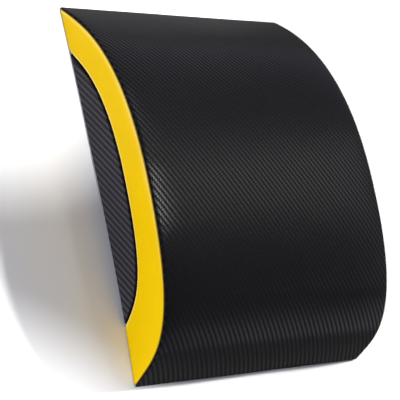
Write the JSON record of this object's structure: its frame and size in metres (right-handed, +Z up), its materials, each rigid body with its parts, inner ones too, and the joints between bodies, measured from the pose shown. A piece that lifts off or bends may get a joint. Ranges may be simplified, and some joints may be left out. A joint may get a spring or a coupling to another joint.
{
  "type": "ab mat",
  "caption": "Arched foam exercise mat for sit-ups, steep at the hip end and thin at the shoulder end, in a sewn vinyl cover with a contrast band along each side.",
  "frame": {"origin": "on the floor, under the middle of the mat", "axes": "+Z up; -Y is the steep hip end, +Y the thin shoulder end; X across the mat, left at -X"},
  "size_m": [0.283, 0.37, 0.086],
  "materials": {
    "foam": "dense closed-cell foam, matte",
    "top_vinyl": "black vinyl embossed with a diagonal twill, semi-gloss",
    "band_vinyl": "yellow fine-grain vinyl, satin",
    "side_vinyl": "dark grey vinyl embossed with a diagonal twill, semi-gloss",
    "base_sheet": "non-slip backed sheet, matte",
    "thread": "bonded polyester thread"
  },
  "bodies": {
    "root": {"foam_core": "foam", "top_panel": "top_vinyl", "band_left": "band_vinyl", "band_right": "band_vinyl", "side_panel_left": "side_vinyl", "side_panel_right": "side_vinyl", "base_panel": "base_sheet", "arch_seam_thread_left": "thread", "arch_seam_thread_right": "thread", "band_seam_thread_left": "thread", "band_seam_thread_right": "thread", "base_seam_thread": "thread"}
  },
  "joints": []
}
